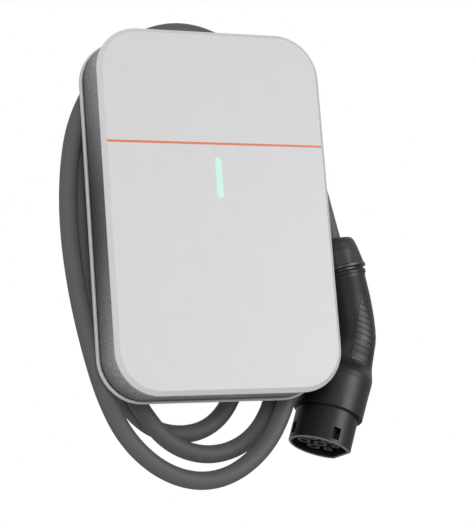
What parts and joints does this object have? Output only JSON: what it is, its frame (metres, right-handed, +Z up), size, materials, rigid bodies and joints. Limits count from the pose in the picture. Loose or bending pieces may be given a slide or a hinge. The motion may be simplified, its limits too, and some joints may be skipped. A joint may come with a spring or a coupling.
{
  "type": "ev wallbox",
  "caption": "Wall-mounted vehicle charger with a bevelled front cover, coloured stripe and status light, and a charging cable hung over a saddle behind the box, ending in a round connector.",
  "frame": {"origin": "on the wall plane, behind the centre of the front cover", "axes": "+Y into the wall, +X to the right seen from the front, +Z up"},
  "size_m": [0.322, 0.12, 0.4505],
  "materials": {
    "cover_white": "smooth satin moulded face",
    "stripe_orange": "smooth inlay",
    "light_guide": "frosted light guide, lit pale green",
    "circuit_board": "green solder mask",
    "housing_dark": "fine moulded grain",
    "seal_rubber": "matte",
    "rim_grey": "smooth satin",
    "rear_grey": "fine moulded grain",
    "bracket_steel": "zinc plated sheet",
    "saddle_dark": "moulded, satin",
    "relay_black": "matte",
    "terminal_grey": "matte",
    "sensor_black": "matte",
    "transformer_yellow": "taped winding",
    "capacitor_sleeve": "shrink sleeve",
    "earth_brass": "plain",
    "screw_steel": "zinc plated",
    "gland_plastic": "moulded",
    "gland_rubber": "matte",
    "sleeve_rubber": "matte",
    "clamp_plastic": "moulded",
    "cable_sheath": "smooth matte sheath",
    "connector_black": "satin, fine grain",
    "cap_black": "satin",
    "nose_black": "satin",
    "carrier_black": "satin",
    "grip_rubber": "soft ribbed",
    "contact_silver": "silver plated",
    "collar_steel": "plain"
  },
  "bodies": {
    "root": {"front_cover": "cover_white", "accent_stripe": "stripe_orange", "status_light_guide": "light_guide", "status_light_board": "circuit_board", "main_board": "circuit_board", "radio_board": "circuit_board", "middle_housing": "housing_dark", "cover_seal": "seal_rubber", "housing_seal": "seal_rubber", "rim_plate": "rim_grey", "rear_housing": "rear_grey", "wall_bracket": "bracket_steel", "cable_saddle": "saddle_dark", "power_relays": "relay_black", "terminal_block": "terminal_grey", "residual_current_sensor": "sensor_black", "supply_transformer": "transformer_yellow", "capacitors": "capacitor_sleeve", "earth_bar": "earth_brass", "cover_screws": "screw_steel", "housing_screws": "screw_steel", "board_screws": "screw_steel", "bracket_screws": "screw_steel", "saddle_screws": "screw_steel", "outlet_gland_body": "gland_plastic", "outlet_gland_locknut": "gland_plastic", "outlet_gland_nut": "gland_plastic", "outlet_gland_seal": "gland_rubber", "supply_grommet": "gland_rubber", "outlet_bend_sleeve": "sleeve_rubber", "outlet_strain_clamp": "clamp_plastic", "charging_cable": "cable_sheath", "connector_front_shell": "connector_black", "connector_rear_shell": "connector_black", "connector_cap": "cap_black", "connector_nose": "nose_black", "contact_carrier": "carrier_black", "grip_pads": "grip_rubber", "power_contacts": "contact_silver", "signal_contacts": "contact_silver", "connector_cable_collar": "collar_steel"}
  },
  "joints": []
}
